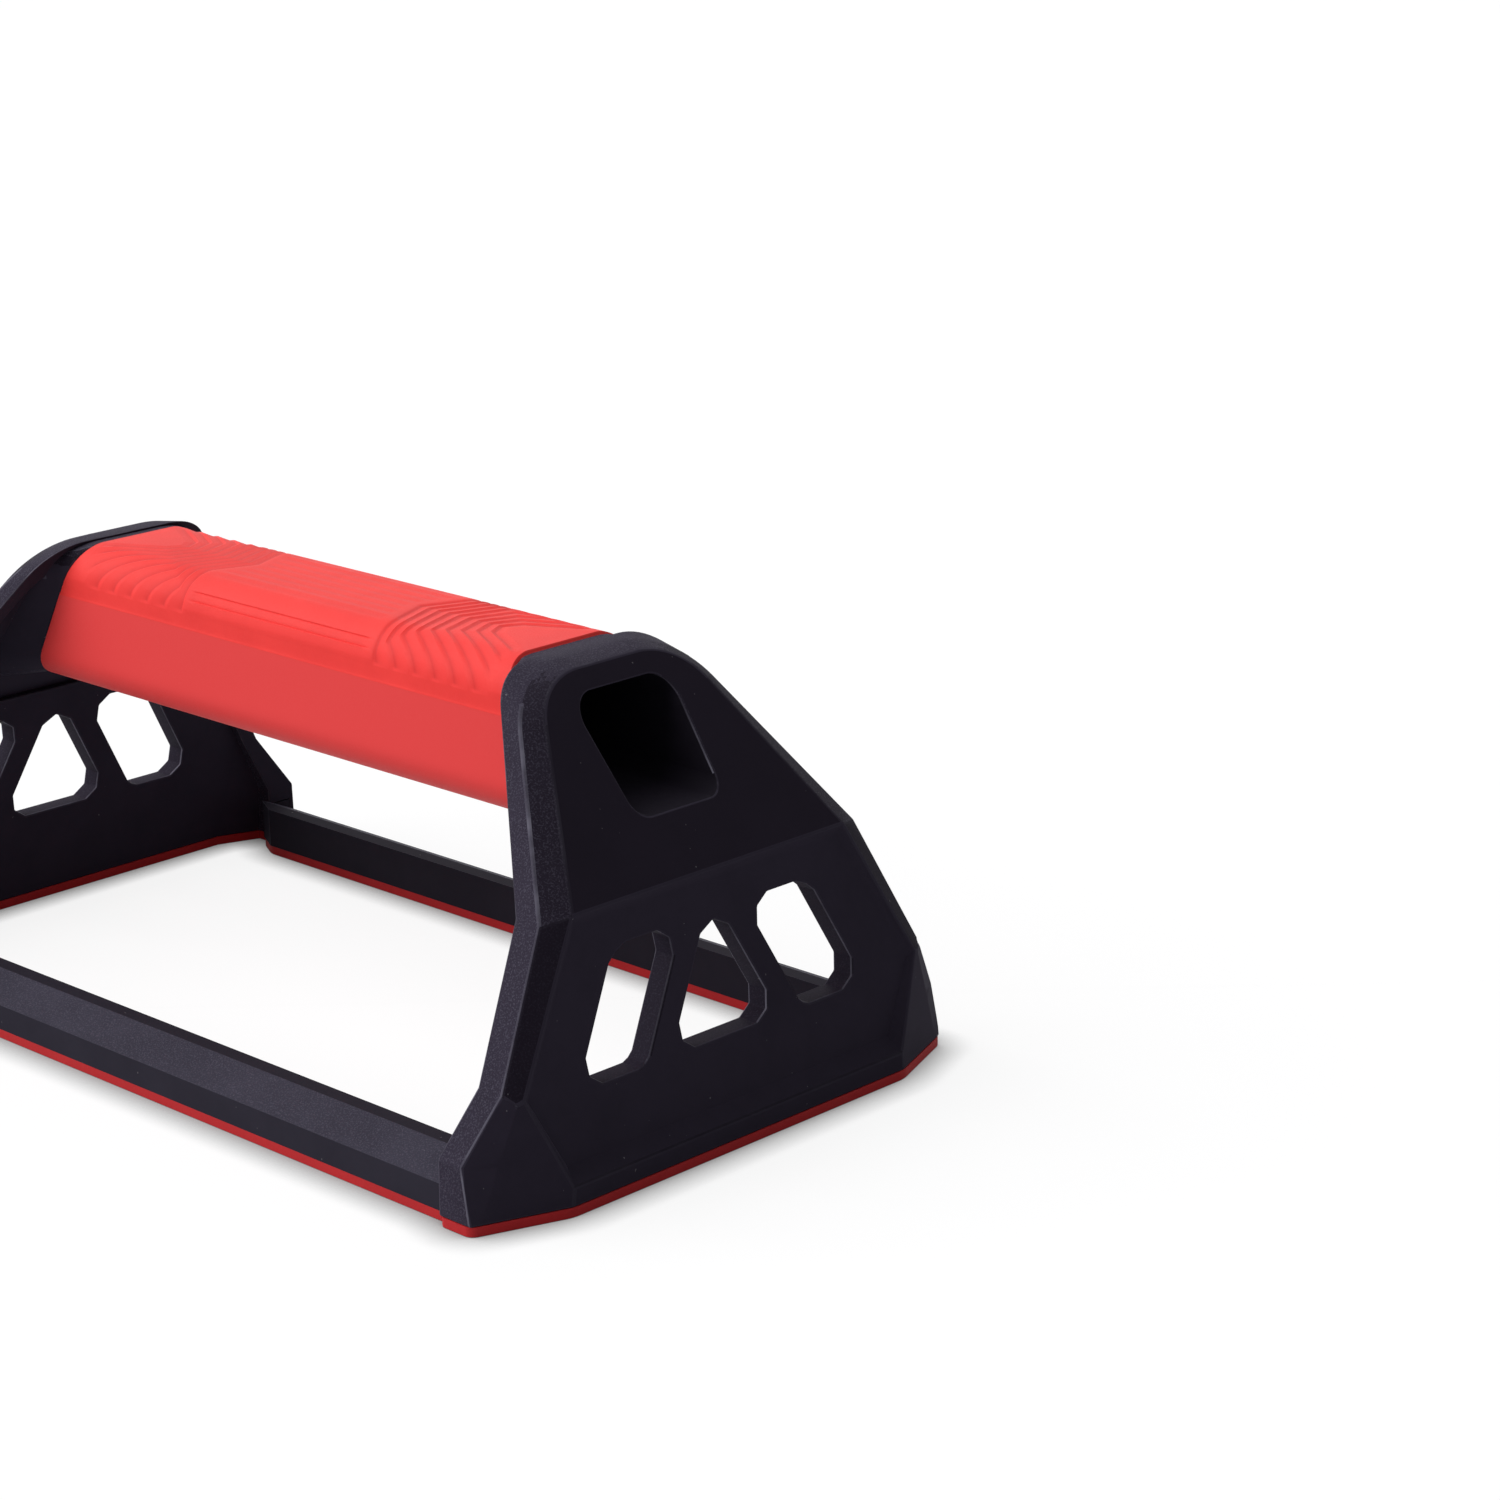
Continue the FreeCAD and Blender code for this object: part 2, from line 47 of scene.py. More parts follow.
# Camera: where it stands, how it is turned and how long its lens is
CAMERA_PLACE = (0.6271, -0.5144, 0.3052)
CAMERA_HEADING = 0.7706
CAMERA_PITCH = 0.2955
CAMERA_ROLL = 0.0148
FOCAL_PIXELS = 3716.69
PICTURE_PIXELS = 1500
SENSOR = 36.0
NEAR_CLIP = 0.01

# Section of the grip: half width and corner radius at the top and at the bottom
GRIP_TOP_HALF = 18.4 * MM
GRIP_LOW_HALF = 19.2 * MM
GRIP_TOP_R = 9.0 * MM
GRIP_LOW_R = 8.0 * MM
SLEEVE_T = 2.0 * MM
END_LEAN = math.tan(math.radians(28.8))

# Chevron ribs at both ends of the grip, seen from above
RIBS = 9
RIB_FIRST = 28.0 * MM
RIB_STEP = 3.24 * MM
RIB_SLOPE = 0.42
RIB_SLOPE_SIDE = 0.1
RIB_BEND = 10.5 * MM
VERTEX_FIRST = (33.0 * MM, 18.5 * MM)
VERTEX_STEP = (2.9 * MM, -1.75 * MM)
ARM_SLOPE = 0.515
ARM_LIMIT = 71.5 * MM
ARM_CROWD = 0.25 * MM
ARM_FADE = 3.0 * MM
RIB_DEPTH = 0.34 * MM
RIB_EDGE = 0.13

# Waves along the middle of the grip
WAVE_STEP = 3.2 * MM
WAVE_COUNT = 4
WAVE_DEPTH = 0.18 * MM
WAVE_END = 2.9 * MM

# By distance round the section: framed strip on each shoulder, ledge under the pattern, mould line
STRIP_TOP = 17.9 * MM
STRIP_LOW = 20.05 * MM
STRIP_HALF = 31.9 * MM
LINE_HALF = 0.24 * MM
LINE_DEPTH = 0.26 * MM
STRIP_DEPTH = 0.14 * MM
LEDGE = 22.6 * MM
LEDGE_RUN = 0.8 * MM
LEDGE_DEPTH = 0.1 * MM
MOULD_LINE = 26.9 * MM
MOULD_HALF = 0.16 * MM
MOULD_RISE = 0.03 * MM

# Rows of the sleeve: shares of the plain middle, share and depth within one rib, shares of the plain end
MIDDLE_ROWS = (0.0, 0.25, 0.5, 0.75, 0.96, 1.0)
RIB_ROWS = ((0.0, 0.55), (RIB_EDGE, 1.0), (0.3, 0.78), (0.55, 0.48), (0.8, 0.16), (1 - RIB_EDGE, 0.0))
END_ROWS = (0.3, 0.6, 0.85)
END_EDGE = 0.3 * MM
END_DROP = 0.1 * MM

# Columns of the sleeve beside those of its features: millimetres round the section, counts and shares
SHOULDER_COLUMNS = (15.0, 15.7, 16.4, 17.1, 18.6, 19.3, 20.8, 21.4, 22.0)
SIDE_COLUMNS = (23.6, 24.4, 25.4, 26.3, 27.6, 30.0, 33.0, 36.0, 39.0, 41.0)
WAVE_COLUMNS = 8
CORNER_COLUMNS = 14
UNDER_COLUMNS = (0.3, 0.65, 1.0)

# Rounding of the moulded edges
SEAM = 0.001 * MM
WELD = 0.05 * MM
FLAT_ANGLE = math.radians(0.1)
ROUND_ANGLE = math.radians(17)
FRAME_EDGE_R = 0.5 * MM
RAIL_EDGE_R = 0.08 * MM
SOLE_CORNER_R = 1.6 * MM
SOLE_EDGE_R = 0.3 * MM
EDGE_STEPS = 2
CORNER_STEPS = 4

# Least angle at which an edge is shaded sharp
SLEEVE_SHARP = math.radians(38)
PIECE_SHARP = math.radians(34)

# Stretches along the grip, from the middle, where the edges of the frames and rails are in sight
FRAME_SPAN = (72.0 * MM, 126.0 * MM)
RAIL_SPAN = (0.0, 107.0 * MM)

# Tone from smooth black to grained black, and strength of the grain, on the faces of an end frame; the tone
# is partly the grained finish and partly painted light and shade, set by the way each facet faces
FRAME_TONES = {
    "opening": (0.5, 0.35),
    "rim": (1.0, 1.0),
    "upper_bevel": (0.2, 0.7),
    "lower_bevel": (0.0, 0.2),
    "side_facet": (1.0, 0.0),
    "slope": (1.0, 0.0),
    "upper_face": (0.15, 0.0),
    "other": (0.95, 0.0),
}

# The same for a base rail, with painted shade on its top and inside, and the share of wear and painted
# highlight on rounded edges
RAIL_SLOPE_TONE = (1.0, 1.0)
RAIL_OUTSIDE_TONE = (0.5, 0.0)
RAIL_INSIDE_TONE = (0.3, 0.0)
SIDE_WEAR_AND_HIGHLIGHT = 1.0
TOP_WEAR_AND_HIGHLIGHT = 0.4
LEAST_WEAR_AND_HIGHLIGHT = 0.1

# Height of the knee where the lower bevel of an end frame stops
KNEE_Z = 27.5 * MM

# Room of the openings in the lower panel of an end frame
PANEL_HALF = 42.0 * MM
PANEL_LOW = 18.0 * MM
PANEL_TOP = 50.0 * MM

# Room of the hole through each end
BORE_HALF = 14.6 * MM
BORE_LOW = 70.5 * MM
BORE_TOP = 94.5 * MM
BORE_MIDDLE = (BORE_LOW + BORE_TOP) / 2

# Finish of the black plastic: scales of its grain, clouds and dust, height of the grain, gloss
GRAIN_SCALE = 2700
BLACK_CLOUDS = 45
DUST_SCALE = 1100
GRAIN_HEIGHT = 0.12 * MM
BLACK_GLOSS = 0.025
BORE_CLOUDS = 300
BORE_GLOSS = 0.03

# Finish of the red rubber: scales of its grain and clouds, height of the grain, painted shade in its
# hollows, gloss
RUBBER_GRAIN = 3000
RUBBER_CLOUDS = 60
RUBBER_HEIGHT = 0.08 * MM
HOLLOW_SHADE_POWER = 3.0
HOLLOW_SHADE = 0.5
RED_GLOSS = 0.2
GRIP_ROUGH = 0.55
SOLE_ROUGH = 0.6
ZINC_CLOUDS = 900

# Colours as 8-bit screen values
# Ends of the frame's tone: partly smooth and grained finish, partly painted shade and painted light
FRAME_SMOOTH_AND_SHADED = (33, 28, 38)
FRAME_GRAINED_AND_LIT = (52, 47, 60)
# Ends of the rail's tone: partly smooth and grained finish, partly painted shade and painted light
RAIL_SMOOTH_AND_SHADED = (27, 23, 30)
RAIL_GRAINED_AND_LIT = (62, 60, 72)
CORE_SMOOTH = (22, 20, 26)
CORE_GRAINED = (26, 24, 30)
CLOUD_BLACK = (24, 21, 29)
# Pale rounded edges: partly wear, partly painted highlight
WEAR_AND_HIGHLIGHT_BLACK = (116, 114, 128)
# Grain specks painted paler as glints
GRAIN_GLINT = (92, 89, 104)
DUST = (140, 138, 142)
# Walls of the hole: darker than the frame as painted shade
BORE_SHADE_DARK = (24, 21, 28)
BORE_SHADE_PALE = (30, 27, 35)
GRIP_RED = (252, 64, 60)
GRIP_DEEP = (205, 30, 32)
GRIP_DULL = (238, 68, 68)
SOLE_RED = (188, 38, 42)
SOLE_DEEP = (150, 22, 28)
ZINC_DARK = (150, 150, 152)
ZINC_PALE = (185, 186, 188)
FLOOR_DARK = (203, 203, 205)
FLOOR_PALE = (209, 209, 210)
FLOOR_SEEN = (111, 111, 112)
WHITE = (1.0, 1.0, 1.0, 1.0)

# Light: where the two wide lamps stand, how wide they look and how strong they are
KEY_FROM = (-0.5, -0.58, 0.64)
KEY_ANGLE = math.radians(62)
KEY_STRENGTH = 2.75
BACK_FROM = (-0.4, 0.5, 0.77)
BACK_ANGLE = math.radians(60)
BACK_STRENGTH = 0.6
FILL = 0.18

# Floor: half its side, how much of its white it shows by itself, reach and depth of the painted shadow at
# the soles
FLOOR_HALF = 30.0
FLOOR_CLOUDS = 3
FLOOR_GLOW = 0.87
CONTACT = 9.0 * MM
CONTACT_POWER = 1.6
CONTACT_SAMPLES = 8


def add_camera():
    """Camera at the photograph's viewing angle."""
    data = bpy.data.cameras.new("camera")
    data.sensor_width = SENSOR
    data.lens = FOCAL_PIXELS / PICTURE_PIXELS * SENSOR
    data.clip_start = NEAR_CLIP
    camera = bpy.data.objects.new("camera", data)
    bpy.context.scene.collection.objects.link(camera)
    turn = Matrix.Rotation(CAMERA_HEADING, 4, "Z")
    turn = turn @ Matrix.Rotation(math.pi / 2 - CAMERA_PITCH, 4, "X")
    turn = turn @ Matrix.Rotation(-CAMERA_ROLL, 4, "Z")
    camera.matrix_world = Matrix.Translation(CAMERA_PLACE) @ turn
    bpy.context.scene.camera = camera


def add_lamp(name, place, angle, strength):
    """Wide soft lamp far away, the same all over the floor."""
    data = bpy.data.lights.new(name, "SUN")
    data.energy = strength
    data.angle = angle
    lamp = bpy.data.objects.new(name, data)
    bpy.context.scene.collection.objects.link(lamp)
    lamp.rotation_mode = "QUATERNION"
    lamp.rotation_quaternion = Vector(place).to_track_quat("Z", "Y")


class Paint:
    """Node material with short calls to add nodes and join them."""

    def __init__(self, name):
        self.material = bpy.data.materials.new(name)
        self.material.use_nodes = True
        self.tree = self.material.node_tree
        self.shader = self.tree.nodes["Principled BSDF"]

    def put(self, node, inputs):
        for key, value in inputs.items():
            if isinstance(value, bpy.types.NodeSocket):
                self.tree.links.new(value, node.inputs[key])
            else:
                node.inputs[key].default_value = value

    def add(self, kind, inputs, output=0, **settings):
        node = self.tree.nodes.new(kind)
        for key, value in settings.items():
            setattr(node, key, value)
        self.put(node, inputs)
        return node.outputs[output]

    def place(self):
        return self.add("ShaderNodeTexCoord", {}, "Object")

    def mark(self, name):
        """Value that the mesh holds under this name."""
        return self.add("ShaderNodeAttribute", {}, "Fac", attribute_name=name)

    def noise(self, scale, detail, roughness=0.5):
        inputs = {"Vector": self.place(), "Scale": scale, "Detail": detail, "Roughness": roughness}
        return self.add("ShaderNodeTexNoise", inputs)

    def ramp(self, value, low, high, out_low=0.0, out_high=1.0):
        inputs = {"Value": value, 1: low, 2: high, 3: out_low, 4: out_high}
        return self.add("ShaderNodeMapRange", inputs, interpolation_type="SMOOTHSTEP")

    def math(self, operation, a, b):
        return self.add("ShaderNodeMath", {0: a, 1: b}, operation=operation)

    def mix(self, share, a, b):
        node = self.tree.nodes.new("ShaderNodeMix")
        node.data_type = "RGBA"
        self.put(node, {0: share, 6: a, 7: b})
        return node.outputs[2]

    def bump(self, height, strength, distance):
        inputs = {"Height": height, "Strength": strength, "Distance": distance}
        return self.add("ShaderNodeBump", inputs)


def linear(colour):
    """Scene colour of one written as 8-bit screen values."""
    out = []
    for value in colour:
        share = value / 255
        out.append(share / 12.92 if share <= 0.04045 else ((share + 0.055) / 1.055) ** 2.4)
    return (*out, 1.0)


def black_plastic(name, smooth, grained):
    """Moulded black: a tone per face from smooth to grained black that also carries painted light and
    shade, grain specks painted paler as glints, pale rounded edges that are partly wear and partly painted
    highlight.
    """
    paint = Paint(name)
    coarse = paint.mark("grain")
    grain = paint.noise(GRAIN_SCALE, 3, 0.6)
    clouds = paint.noise(BLACK_CLOUDS, 4, 0.6)
    # Tone per face: partly smooth and grained finish, partly painted light and shade
    tone = paint.mix(paint.mark("tone"), linear(smooth), linear(grained))
    tone = paint.mix(paint.ramp(clouds, 0.3, 0.7, 0.0, 0.25), tone, linear(CLOUD_BLACK))
    # Pale rounded edges: partly wear, partly painted highlight
    wear_and_highlight = paint.math("MULTIPLY", paint.mark("edge"), paint.ramp(clouds, 0.38, 0.66, 0.2, 0.9))
    tone = paint.mix(wear_and_highlight, tone, linear(WEAR_AND_HIGHLIGHT_BLACK))
    # Grain specks painted paler as glints on the grained faces
    grain_glint = paint.math("MULTIPLY", paint.ramp(grain, 0.48, 0.68, 0.0, 0.45), coarse)
    tone = paint.mix(grain_glint, tone, linear(GRAIN_GLINT))
    dust = paint.ramp(paint.noise(DUST_SCALE, 0), 0.87, 0.9, 0.0, 0.4)
    tone = paint.mix(dust, tone, linear(DUST))
    height = paint.ramp(coarse, 0.0, 1.0, 0.05, 0.6)
    paint.put(paint.shader, {
        "Base Color": tone,
        "Roughness": paint.ramp(coarse, 0.0, 1.0, 0.62, 0.55),
        "Specular IOR Level": BLACK_GLOSS,
        "Normal": paint.bump(grain, height, GRAIN_HEIGHT),
    })
    return paint.material


def bore_shade_black():
    """Dull smooth walls of the hole through the end, darker than the frame as painted shade of the hole."""
    paint = Paint("bore_shade_black")
    clouds = paint.noise(BORE_CLOUDS, 3)
    paint.put(paint.shader, {
        "Base Color": paint.mix(clouds, linear(BORE_SHADE_DARK), linear(BORE_SHADE_PALE)),
        "Roughness": paint.ramp(clouds, 0.3, 0.7, 0.6, 0.75),
        "Specular IOR Level": BORE_GLOSS,
    })
    return paint.material


def red_rubber(name, colour, deep, dull, rough):
    """Soft matte moulded rubber with fine grain, painted shade in its hollows and duller lower sides."""
    paint = Paint(name)
    grain = paint.noise(RUBBER_GRAIN, 2, 0.5)
    clouds = paint.noise(RUBBER_CLOUDS, 4, 0.6)
    tone = paint.mix(paint.ramp(clouds, 0.25, 0.75, 0.0, 0.2), linear(colour), linear(deep))
    # Painted shade gathered in the deepest rows of the ribs
    hollow = paint.math("POWER", paint.mark("hollow"), HOLLOW_SHADE_POWER)
    tone = paint.mix(paint.math("MULTIPLY", hollow, HOLLOW_SHADE), tone, linear(deep))
    tone = paint.mix(paint.mark("under"), tone, linear(dull))
    paint.put(paint.shader, {
        "Base Color": tone,
        "Roughness": paint.ramp(grain, 0.3, 0.7, rough - 0.05, rough + 0.07),
        "Specular IOR Level": RED_GLOSS,
        "Normal": paint.bump(grain, 0.12, RUBBER_HEIGHT),
    })
    return paint.material


def zinc():
    """Plain zinc-plated steel of the hidden screws."""
    paint = Paint("screw_zinc")
    clouds = paint.noise(ZINC_CLOUDS, 4, 0.6)
    paint.put(paint.shader, {
        "Base Color": paint.mix(clouds, linear(ZINC_DARK), linear(ZINC_PALE)),
        "Metallic": 1.0,
        "Roughness": paint.ramp(clouds, 0.3, 0.7, 0.3, 0.45),
    })
    return paint.material


# Half the grip's section from the top middle: its slanted side, the turn and reach of its two arcs
SLEEVE_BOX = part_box("grip_sleeve")
TOP_Z = SLEEVE_BOX[1].z
LOW_Z = SLEEVE_BOX[0].z
SIDE = Vector((GRIP_TOP_HALF - GRIP_LOW_HALF, LOW_Z - TOP_Z))
TURN = math.atan2(-SIDE.y, -SIDE.x)
TOP_RUN = GRIP_TOP_R * math.tan(TURN / 2)
LOW_RUN = GRIP_LOW_R * math.tan((math.pi - TURN) / 2)

# Distances round the section where its lines and arcs end
FLAT_TOP = GRIP_TOP_HALF - TOP_RUN
ARC_TOP = FLAT_TOP + GRIP_TOP_R * TURN
SIDE_END = ARC_TOP + SIDE.length - TOP_RUN - LOW_RUN
ARC_LOW = SIDE_END + GRIP_LOW_R * (math.pi - TURN)
HALF_ROUND = ARC_LOW + GRIP_LOW_HALF - LOW_RUN


def section(s, inset=0.0):
    """Point (out, z) and outward direction at distance s round the section from the top middle."""
    if s <= FLAT_TOP:
        point, angle = Vector((s, TOP_Z)), 0.0
    elif s <= ARC_TOP:
        angle = (s - FLAT_TOP) / GRIP_TOP_R
        centre = Vector((FLAT_TOP, TOP_Z - GRIP_TOP_R))
        point = centre + GRIP_TOP_R * Vector((math.sin(angle), math.cos(angle)))
    elif s <= SIDE_END:
        angle = TURN
        start = Vector((GRIP_TOP_HALF, TOP_Z))
        along = Vector((-SIDE.x, SIDE.y)) / SIDE.length
        point = start + along * (TOP_RUN + s - ARC_TOP)
    elif s <= ARC_LOW:
        angle = TURN + (s - SIDE_END) / GRIP_LOW_R
        centre = Vector((GRIP_LOW_HALF - LOW_RUN, LOW_Z + GRIP_LOW_R))
        point = centre + GRIP_LOW_R * Vector((math.sin(angle), math.cos(angle)))
    else:
        point, angle = Vector((HALF_ROUND - s, LOW_Z)), math.pi
    out = Vector((math.sin(angle), math.cos(angle)))
    return point - out * inset, out


def plan_y(s):
    """Distance from the middle seen from above."""
    return section(min(s, LEDGE))[0].x


def rib_vertex(t):
    """Corner of rib line t seen from above: along the grip and out from its middle."""
    x = VERTEX_FIRST[0] + VERTEX_STEP[0] * (t - 1)
    y = VERTEX_FIRST[1] + VERTEX_STEP[1] * (t - 1)
    return x, y


def arm_limit(t):
    """How far towards the end of the grip the arm of rib line t may run."""
    return ARM_LIMIT + ARM_CROWD * (t - RIBS)


def rib_line(t, s):
    """Place along the grip of rib line t at distance s round the section."""
    y = plan_y(s)
    vertex_x, vertex_y = rib_vertex(t)
    start = RIB_FIRST + RIB_STEP * (t - 1)
    if y <= vertex_y:
        bend = min(RIB_BEND, vertex_y)
        x = start + RIB_SLOPE * min(y, bend) + RIB_SLOPE_SIDE * max(0.0, y - bend)
        end = start + RIB_SLOPE * bend + RIB_SLOPE_SIDE * (vertex_y - bend)
        return x + (vertex_x - end) * y / vertex_y
    return min(vertex_x + (y - vertex_y) / ARM_SLOPE, arm_limit(t))


def rib_fade(t, s):
    """How far the ribs stand out at line t: they die out against the margin of the grip's end."""
    vertex_x, vertex_y = rib_vertex(t)
    over = vertex_x + (plan_y(s) - vertex_y) / ARM_SLOPE - arm_limit(t)
    return 1.0 - min(1.0, max(0.0, 1.0 + over / ARM_FADE))


def rib_rows():
    """Rows of the sleeve over its ribs: rib line and share of the full depth."""
    rows = [(0.5, 0.0), (1 - RIB_EDGE, 0.0)]
    for rib in range(1, RIBS + 1):
        rows += [(rib + share, depth) for share, depth in RIB_ROWS]
    return rows


def column_places():
    """Distances round the half section where the sleeve's columns run."""
    places = [column * MM for column in SHOULDER_COLUMNS + SIDE_COLUMNS]
    fine = WAVE_STEP / WAVE_COLUMNS
    places += [i * fine for i in range(int((WAVE_COUNT + 0.5) * WAVE_COLUMNS))]
    for line in (STRIP_TOP, STRIP_LOW):
        places += [line - LINE_HALF, line, line + LINE_HALF]
    places += [LEDGE, LEDGE + LEDGE_RUN]
    places += [MOULD_LINE - MOULD_HALF, MOULD_LINE, MOULD_LINE + MOULD_HALF]
    for i in range(CORNER_COLUMNS + 1):
        places.append(SIDE_END + (ARC_LOW - SIDE_END) * i / CORNER_COLUMNS)
    places += [ARC_LOW + (HALF_ROUND - ARC_LOW) * share for share in UNDER_COLUMNS]
    return sorted(places)


def end_x(z):
    """Slanted end of the grip."""
    return SLEEVE_BOX[1].x - (z - LOW_Z) * END_LEAN


def plain_depth(s):
    """Depth where there is no pattern: none on top, ledge under the pattern, rise at the mould line."""
    if LEDGE < s < MOULD_LINE - MOULD_HALF:
        return LEDGE_DEPTH
    if abs(s - MOULD_LINE) < MOULD_HALF / 2:
        return -MOULD_RISE
    return 0.0


def wave(s):
    """Depth of the waves along the middle of the grip."""
    if s > WAVE_COUNT * WAVE_STEP:
        return 0.0
    return WAVE_DEPTH * (0.5 - 0.5 * math.cos(2 * math.pi * s / WAVE_STEP))


def strip_line(x, s):
    """Depth of the line round the strip on the shoulder."""
    if abs(x) > STRIP_HALF or not STRIP_TOP - LINE_HALF / 2 < s < STRIP_LOW + LINE_HALF / 2:
        return 0.0
    on_edge = min(abs(s - STRIP_TOP), abs(s - STRIP_LOW)) < LINE_HALF / 2
    on_end = STRIP_HALF - abs(x) < LINE_HALF
    return LINE_DEPTH if on_edge or on_end else STRIP_DEPTH


def sleeve_rows(s):
    """Places along the grip and depths of one column, from the middle to the end."""
    patterned = s <= LEDGE
    plain = plain_depth(s)
    first_rib = rib_line(1, s)
    middle = first_rib - WAVE_END
    out = []
    for share in MIDDLE_ROWS:
        x = middle * share
        relief = max(wave(s) if share < 1.0 else 0.0, strip_line(x, s))
        out.append((x, relief if patterned else plain))
    for t, share in rib_rows():
        x = rib_line(t, s) if t >= 1 else middle + (first_rib - middle) * t
        relief = RIB_DEPTH * share * rib_fade(t, s)
        out.append((x, relief if patterned else plain))
    last = out[-1][0]
    stop = end_x(section(s)[0].y)
    out += [(last + (stop - last) * share, plain) for share in END_ROWS]
    out.append((stop - END_EDGE, plain))
    out.append((stop, END_EDGE if patterned else plain + END_DROP))
    return out


def sleeve_column(bm, s, side):
    """Points of one column: outside from end to end, then the two ends of the inside."""
    hollow = bm.verts.layers.float["hollow"]
    under = bm.verts.layers.float["under"]
    point, out = section(s)
    half = sleeve_rows(s)
    column = []
    for x, depth in [(-x, depth) for x, depth in reversed(half[1:])] + half:
        at = point - out * depth
        vert = bm.verts.new((x, side * at.x, at.y))
        vert[hollow] = min(1.0, max(0.0, depth / RIB_DEPTH))
        vert[under] = 1.0 if s > MOULD_LINE else 0.0
        column.append(vert)
    inner, _ = section(s, SLEEVE_T)
    for x in (end_x(inner.y), -end_x(inner.y)):
        column.append(bm.verts.new((x, side * inner.x, inner.y)))
    return column


def grip_sleeve(material):
    """Soft sleeve with ribs, waves, ledge and mould line, closed at its ends and inside."""
    bm = bmesh.new()
    bm.verts.layers.float.new("hollow")
    bm.verts.layers.float.new("under")
    places = column_places()
    grid = [sleeve_column(bm, s, -1) for s in places]
    grid += [sleeve_column(bm, s, 1) for s in reversed(places[1:-1])]
    for i, here in enumerate(grid):
        after = grid[(i + 1) % len(grid)]
        for j in range(len(here)):
            k = (j + 1) % len(here)
            bm.faces.new((here[j], here[k], after[k], after[j]))
    bmesh.ops.recalc_face_normals(bm, faces=bm.faces)
    return finish_mesh(bm, "grip_sleeve_ribbed", material, SLEEVE_SHARP)


def finish_mesh(bm, name, material, sharp):
    """Object from a bmesh, smooth apart from edges over the sharp angle."""
    for face in bm.faces:
        face.smooth = True
    for edge in bm.edges:
        edge.smooth = len(edge.link_faces) == 2 and edge.calc_face_angle(0.0) < sharp
    mesh = bpy.data.meshes.new(name)
    bm.to_mesh(mesh)
    bm.free()
    mesh.materials.append(material)
    piece = bpy.data.objects.new(name, mesh)
    bpy.context.scene.collection.objects.link(piece)
    even = piece.modifiers.new("even_normals", "WEIGHTED_NORMAL")
    even.keep_sharp = True
    return piece


def clean_copy(node):
    """Mesh of a node with its seams joined and its flat faces whole."""
    bm = bmesh.new()
    bm.from_mesh(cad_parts[node].data)
    bmesh.ops.remove_doubles(bm, verts=bm.verts, dist=SEAM)
    bmesh.ops.dissolve_degenerate(bm, dist=WELD, edges=bm.edges)
    bmesh.ops.remove_doubles(bm, verts=bm.verts, dist=WELD)
    bmesh.ops.dissolve_limit(
        bm, angle_limit=FLAT_ANGLE, use_dissolve_boundaries=False,
        verts=bm.verts, edges=bm.edges)
    bmesh.ops.recalc_face_normals(bm, faces=bm.faces)
    return bm


def outer_edges(bm):
    """Edges that stand out by more than the least angle that gets a round."""
    edges = []
    for edge in bm.edges:
        if len(edge.link_faces) == 2 and edge.is_convex and edge.calc_face_angle(0.0) > ROUND_ANGLE:
            edges.append(edge)
    return edges


def round_edges(bm, edges, radius, segments):
    """Round the edges and return the faces that this makes."""
    made = bmesh.ops.bevel(
        bm, geom=edges, offset=radius, offset_type="OFFSET", segments=segments, profile=0.5,
        affect="EDGES", clamp_overlap=False)
    return made["faces"]


def frame_tone(face):
    """How pale and how grained a face of an end frame is, by the way it faces and where it lies; the
    paleness is partly painted light and shade.
    """
    out, across, up = abs(face.normal.x), abs(face.normal.y), face.normal.z
    middle = face.calc_center_median()
    above_knee = middle.z > KNEE_Z
    in_panel = abs(middle.y) < PANEL_HALF and PANEL_LOW < middle.z < PANEL_TOP
    kinds = (
        ("opening", out < 0.3 and in_panel),
        ("rim", out < 0.3),
        ("upper_bevel", across > 0.2 and up > 0.5),
        ("lower_bevel", across > 0.3 and up > 0.15 and above_knee),
        ("side_facet", across > 0.3),
        ("slope", up > 0.65),
        ("upper_face", up > 0.5),
        ("other", True),
    )
    kind = next(name for name, here in kinds if here)
    return FRAME_TONES[kind]


def rail_tone(face):
    """How pale and how grained a face of a base rail is: most on its slope, least on top and inside, where
    the darker tone is painted shade.
    """
    if 0.6 < face.normal.z < 0.97:
        return RAIL_SLOPE_TONE
    outside = face.normal.y * face.calc_center_median().y > 0.0 and face.normal.z < 0.6
    return RAIL_OUTSIDE_TONE if outside else RAIL_INSIDE_TONE


def edge_wear_and_highlight(face):
    """How much paler a rounded edge is, partly wear and partly painted highlight: most along the sides of
    the rim.
    """
    out, across = abs(face.normal.x), abs(face.normal.y)
    if not 0.1 < out < 0.55:
        return LEAST_WEAR_AND_HIGHLIGHT
    return SIDE_WEAR_AND_HIGHLIGHT if across > 0.5 else TOP_WEAR_AND_HIGHLIGHT


def in_bore(face):
    """Whether a face of an end frame is a wall of the hole into the grip."""
    middle = face.calc_center_median()
    inside = abs(middle.y) < BORE_HALF and BORE_LOW < middle.z < BORE_TOP
    facing = face.normal.dot(Vector((0.0, -middle.y, BORE_MIDDLE - middle.z)))
    return inside and facing > 0.0 and abs(face.normal.x) < 0.3


def in_span(edge, span):
    """Whether the middle of an edge lies within a stretch along the grip."""
    middle = abs(edge.verts[0].co.x + edge.verts[1].co.x) / 2
    return span[0] <= middle <= span[1]


